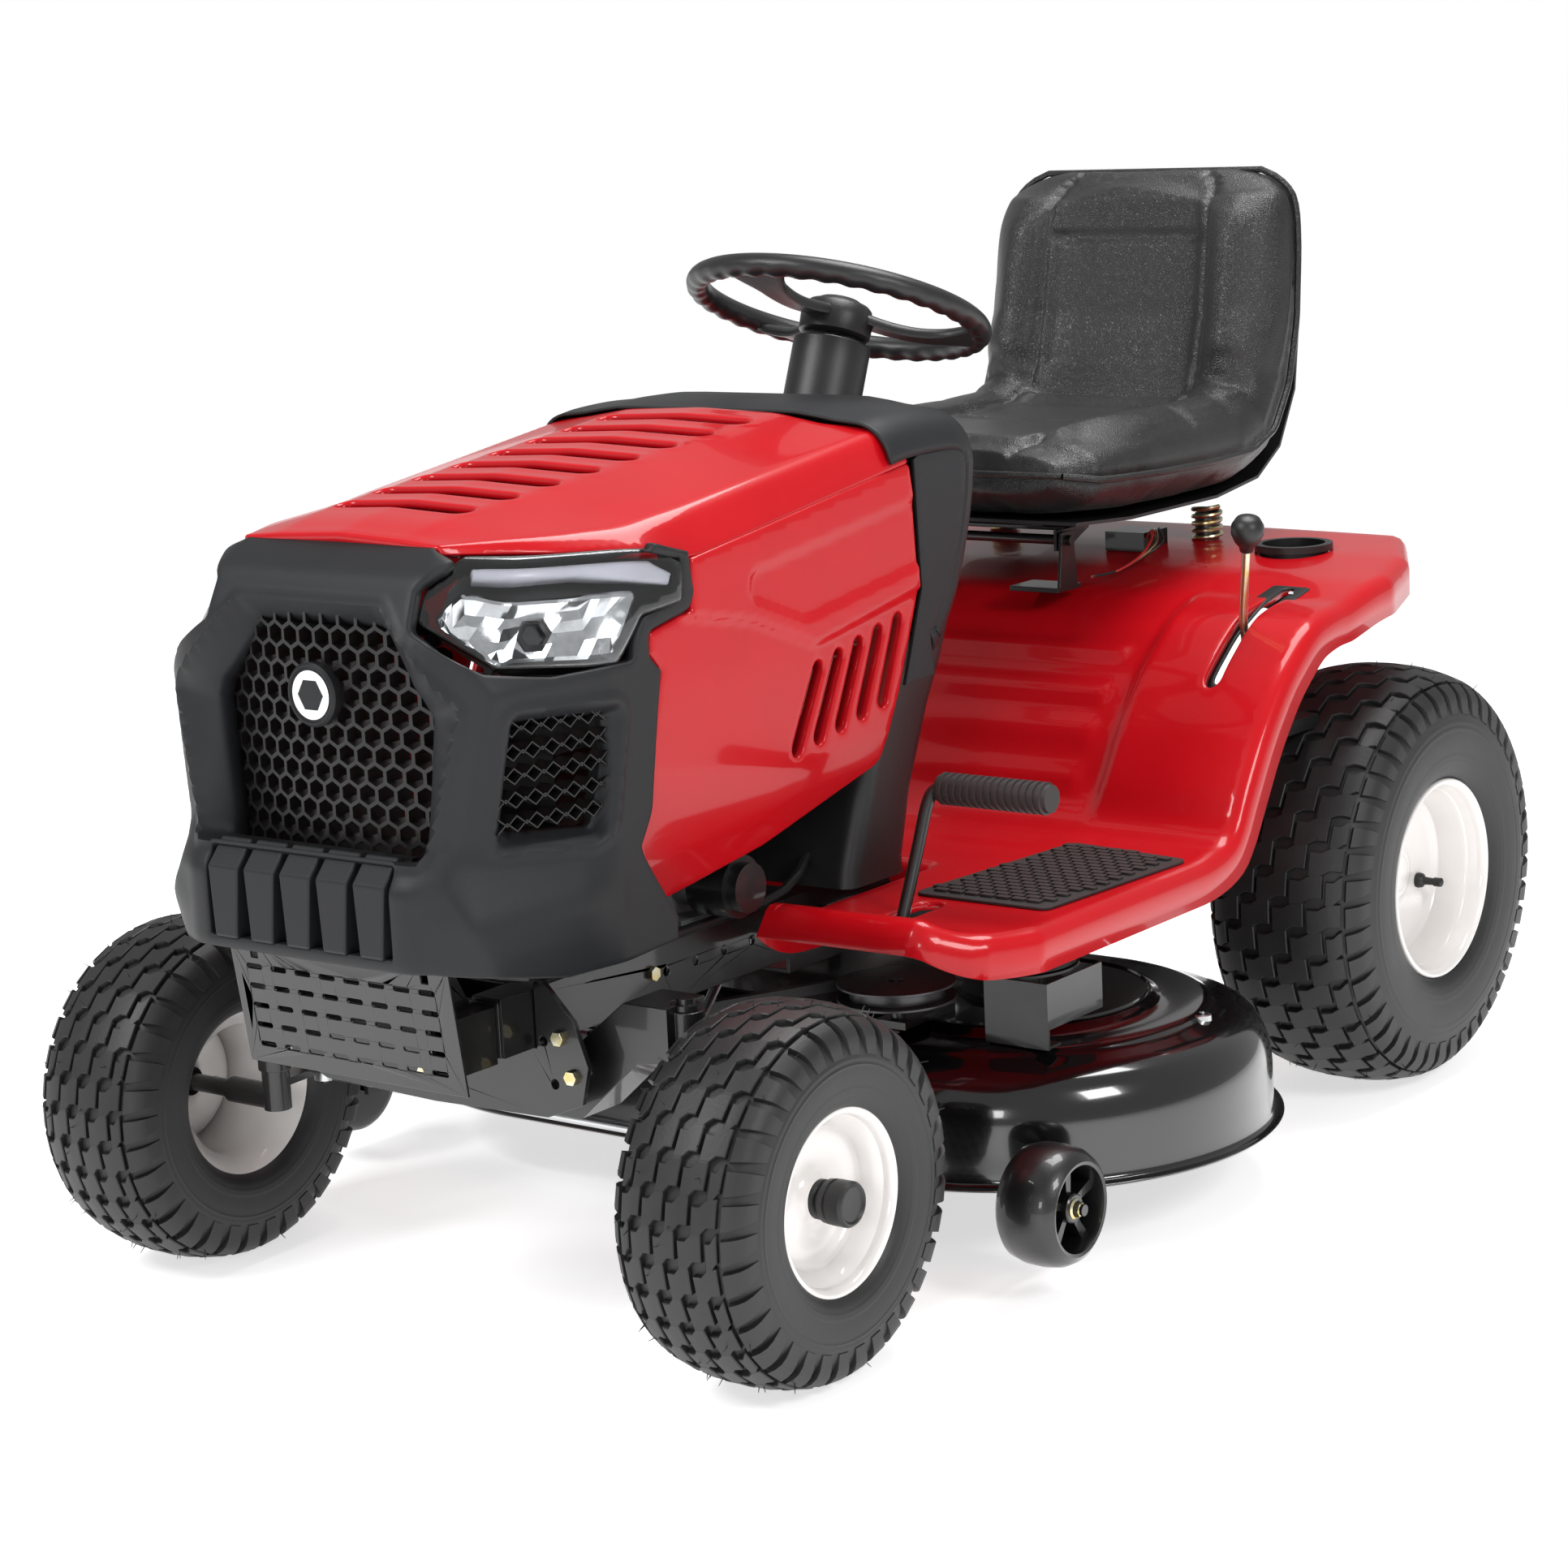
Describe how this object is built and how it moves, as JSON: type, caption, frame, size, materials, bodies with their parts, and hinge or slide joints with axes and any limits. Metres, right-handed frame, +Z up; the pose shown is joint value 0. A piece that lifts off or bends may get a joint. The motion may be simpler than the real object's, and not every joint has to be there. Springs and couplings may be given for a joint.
{
  "type": "riding lawn mower",
  "caption": "Front-engine riding lawn mower: steered front axle, tilting hood, sprung seat, side-discharge cutting deck with twin blades and a lift lever.",
  "frame": {"origin": "middle of the footprint's bounding box, on the ground", "axes": "-Y is the machine's front, +X the operator's left, +Z up"},
  "size_m": [1.2394, 1.702, 1.092],
  "materials": {
    "red_paint": "gloss",
    "black_paint": "satin",
    "deck_paint": "gloss",
    "grey_plastic": "matte",
    "black_plastic": "satin",
    "soft_grip": "satin",
    "pad_rubber": "matte",
    "tyre_rubber": "matte",
    "rim_paint": "gloss",
    "seat_vinyl": "satin",
    "lamp_clear": "gloss",
    "zinc": "satin",
    "bright_steel": "satin",
    "dark_steel": "satin",
    "engine_alloy": "matte",
    "exhaust_steel": "matte",
    "tank_plastic": "satin",
    "battery_case": "satin"
  },
  "bodies": {
    "chassis": {"frame_rails": "black_paint", "frame_crossmembers": "black_paint", "bumper": "black_paint", "frame_bolts": "zinc", "harness_conduit": "black_plastic", "engine_block": "engine_alloy", "blower_housing": "black_plastic", "muffler": "exhaust_steel", "oil_filter": "black_paint", "fuel_tank": "tank_plastic", "battery": "battery_case", "dash_panel": "grey_plastic", "dash_pedestal": "black_paint", "column_cover": "black_plastic", "fender": "red_paint", "foot_pads": "pad_rubber", "cup_holder": "black_plastic", "seat_supports": "black_paint", "transaxle": "engine_alloy"},
    "front_axle": {"front_axle": "black_paint"},
    "left_spindle": {"spindle_left": "dark_steel"},
    "right_spindle": {"spindle_right": "dark_steel"},
    "tie_rod": {"tie_rod": "bright_steel"},
    "drag_link": {"drag_link": "bright_steel"},
    "steering_sector": {"steering_sector": "dark_steel"},
    "steering_pinion": {"steering_pinion": "bright_steel"},
    "steering_column": {"steering_shaft": "bright_steel", "steering_wheel": "soft_grip"},
    "front_left_wheel": {"front_tyre_left": "tyre_rubber", "front_rim_left": "rim_paint"},
    "front_right_wheel": {"front_tyre_right": "tyre_rubber", "front_rim_right": "rim_paint"},
    "rear_left_wheel": {"rear_tyre_left": "tyre_rubber", "rear_rim_left": "rim_paint"},
    "rear_right_wheel": {"rear_tyre_right": "tyre_rubber", "rear_rim_right": "rim_paint"},
    "hood": {"hood": "red_paint", "front_bezel": "grey_plastic", "grille": "black_plastic", "headlamps": "lamp_clear"},
    "seat_bracket": {"seat_bracket": "black_paint"},
    "seat": {"seat_pan": "black_plastic", "seat_cushion": "seat_vinyl"},
    "shift_lever": {"shift_lever": "bright_steel"},
    "lift_lever": {"lift_lever": "black_paint"},
    "brake_pedal": {"brake_pedal": "black_paint"},
    "throttle_lever": {"throttle_lever": "black_plastic"},
    "ignition_key": {"ignition_key": "dark_steel"},
    "deck": {"deck_shell": "deck_paint", "deck_fittings": "black_paint", "deck_belt": "pad_rubber"},
    "left_gauge_wheel": {"gauge_wheel_left": "black_plastic"},
    "right_gauge_wheel": {"gauge_wheel_right": "black_plastic"},
    "left_blade": {"blade_left": "dark_steel", "spindle_pulley_left": "dark_steel"},
    "right_blade": {"blade_right": "dark_steel", "spindle_pulley_right": "dark_steel"},
    "idler_pulley": {"idler_pulley": "bright_steel"},
    "engine_pulley": {"engine_pulley": "dark_steel"},
    "deflector": {"deflector": "black_plastic"}
  },
  "joints": [
    {"name": "axle_pivot", "type": "hinge", "parent": "chassis", "child": "front_axle", "pos_m": [0.0721, -0.619, 0.266], "axis": [0, 1, 0], "range_deg": [-4, 4]},
    {"name": "steering_turn", "type": "hinge", "parent": "chassis", "child": "steering_column", "pos_m": [0.0721, 0.07, 0.969], "axis": [0, 0.3746, 0.9272], "range_deg": [-140, 140]},
    {"name": "pinion_turn", "type": "hinge", "parent": "chassis", "child": "steering_pinion", "pos_m": [0.0721, -0.16975, 0.3256], "axis": [0, 0, 1], "range_deg": [-140, 140]},
    {"name": "sector_turn", "type": "hinge", "parent": "chassis", "child": "steering_sector", "pos_m": [0.0721, -0.24975, 0.3256], "axis": [0, 0, 1], "range_deg": [-35, 35]},
    {"name": "drag_link_turn", "type": "hinge", "parent": "left_spindle", "child": "drag_link", "pos_m": [0.2991, -0.619, 0.215], "axis": [0, 0, 1], "range_deg": [-35, 35]},
    {"name": "left_kingpin", "type": "hinge", "parent": "front_axle", "child": "left_spindle", "pos_m": [0.3571, -0.619, 0.187], "axis": [0, 0, 1], "range_deg": [-35, 35]},
    {"name": "right_kingpin", "type": "hinge", "parent": "front_axle", "child": "right_spindle", "pos_m": [-0.2129, -0.619, 0.187], "axis": [0, 0, 1], "range_deg": [-35, 35]},
    {"name": "tie_rod_turn", "type": "hinge", "parent": "left_spindle", "child": "tie_rod", "pos_m": [0.3571, -0.545, 0.194], "axis": [0, 0, 1], "range_deg": [-35, 35]},
    {"name": "front_left_spin", "type": "hinge", "parent": "left_spindle", "child": "front_left_wheel", "pos_m": [0.4661, -0.619, 0.187], "axis": [1, 0, 0], "continuous": true},
    {"name": "front_right_spin", "type": "hinge", "parent": "right_spindle", "child": "front_right_wheel", "pos_m": [-0.3219, -0.619, 0.187], "axis": [1, 0, 0], "continuous": true},
    {"name": "rear_left_spin", "type": "hinge", "parent": "chassis", "child": "rear_left_wheel", "pos_m": [0.4681, 0.571, 0.252], "axis": [1, 0, 0], "continuous": true},
    {"name": "rear_right_spin", "type": "hinge", "parent": "chassis", "child": "rear_right_wheel", "pos_m": [-0.3239, 0.571, 0.252], "axis": [1, 0, 0], "continuous": true},
    {"name": "hood_tilt", "type": "hinge", "parent": "chassis", "child": "hood", "pos_m": [0.0721, -0.769, 0.4], "axis": [1, 0, 0], "range_deg": [0, 60]},
    {"name": "seat_tilt", "type": "hinge", "parent": "chassis", "child": "seat_bracket", "pos_m": [0.0721, 0.331, 0.676], "axis": [1, 0, 0], "range_deg": [0, 55]},
    {"name": "seat_slide", "type": "slide", "parent": "seat_bracket", "child": "seat", "axis": [0, 1, 0], "range_m": [-0.03, 0.03]},
    {"name": "shift_lever_swing", "type": "hinge", "parent": "chassis", "child": "shift_lever", "pos_m": [0.4321, 0.346, 0.47], "axis": [1, 0, 0], "range_deg": [-10, 10]},
    {"name": "lift_lever_swing", "type": "hinge", "parent": "chassis", "child": "lift_lever", "pos_m": [-0.3129, 0.311, 0.33], "axis": [1, 0, 0], "range_deg": [-15, 20]},
    {"name": "deck_lift", "type": "slide", "parent": "chassis", "child": "deck", "axis": [0, 0, 1], "range_m": [-0.034, 0.026], "deforming": ["deck_belt"]},
    {"name": "brake_pedal_press", "type": "hinge", "parent": "chassis", "child": "brake_pedal", "pos_m": [0.3731, -0.289, 0.345], "axis": [1, 0, 0], "range_deg": [0, 18], "stiffness_Nm_per_rad": 30, "springref_deg": -8.59},
    {"name": "throttle_move", "type": "hinge", "parent": "chassis", "child": "throttle_lever", "pos_m": [0.2371, -0.029, 0.8], "axis": [1, 0, 0], "range_deg": [-12, 12]},
    {"name": "key_turn", "type": "hinge", "parent": "chassis", "child": "ignition_key", "pos_m": [-0.0929, -0.019, 0.77], "axis": [0, 0.866, 0.5], "range_deg": [0, 75]},
    {"name": "engine_spin", "type": "hinge", "parent": "chassis", "child": "engine_pulley", "pos_m": [0.0721, -0.379, 0.262], "axis": [0, 0, 1], "continuous": true},
    {"name": "left_blade_spin", "type": "hinge", "parent": "deck", "child": "left_blade", "pos_m": [0.3271, 0.001, 0.262], "axis": [0, 0, 1], "continuous": true},
    {"name": "right_blade_spin", "type": "hinge", "parent": "deck", "child": "right_blade", "pos_m": [-0.1829, 0.001, 0.262], "axis": [0, 0, 1], "continuous": true},
    {"name": "idler_spin", "type": "hinge", "parent": "deck", "child": "idler_pulley", "pos_m": [0.2921, -0.179, 0.262], "axis": [0, 0, 1], "continuous": true},
    {"name": "left_gauge_spin", "type": "hinge", "parent": "deck", "child": "left_gauge_wheel", "pos_m": [0.5671, -0.307, 0.1], "axis": [1, 0, 0], "continuous": true},
    {"name": "right_gauge_spin", "type": "hinge", "parent": "deck", "child": "right_gauge_wheel", "pos_m": [-0.4229, -0.307, 0.1], "axis": [1, 0, 0], "continuous": true},
    {"name": "deflector_swing", "type": "hinge", "parent": "deck", "child": "deflector", "pos_m": [-0.5009, 0.001, 0.173], "axis": [0, 1, 0], "range_deg": [0, 80], "stiffness_Nm_per_rad": 1.5, "springref_deg": -28.65}
  ],
  "couplings": [
    {"joint": "pinion_turn", "follows": "steering_turn", "ratio": 1},
    {"joint": "sector_turn", "follows": "steering_turn", "ratio": -0.25},
    {"joint": "drag_link_turn", "follows": "steering_turn", "ratio": -0.25},
    {"joint": "left_kingpin", "follows": "steering_turn", "ratio": 0.25},
    {"joint": "right_kingpin", "follows": "steering_turn", "ratio": 0.25},
    {"joint": "tie_rod_turn", "follows": "steering_turn", "ratio": -0.25},
    {"joint": "deck_lift", "follows": "lift_lever_swing", "m_per_rad": -0.092},
    {"joint": "left_blade_spin", "follows": "engine_spin", "ratio": 0.83871},
    {"joint": "right_blade_spin", "follows": "engine_spin", "ratio": 0.83871},
    {"joint": "idler_spin", "follows": "engine_spin", "ratio": -0.91228}
  ]
}
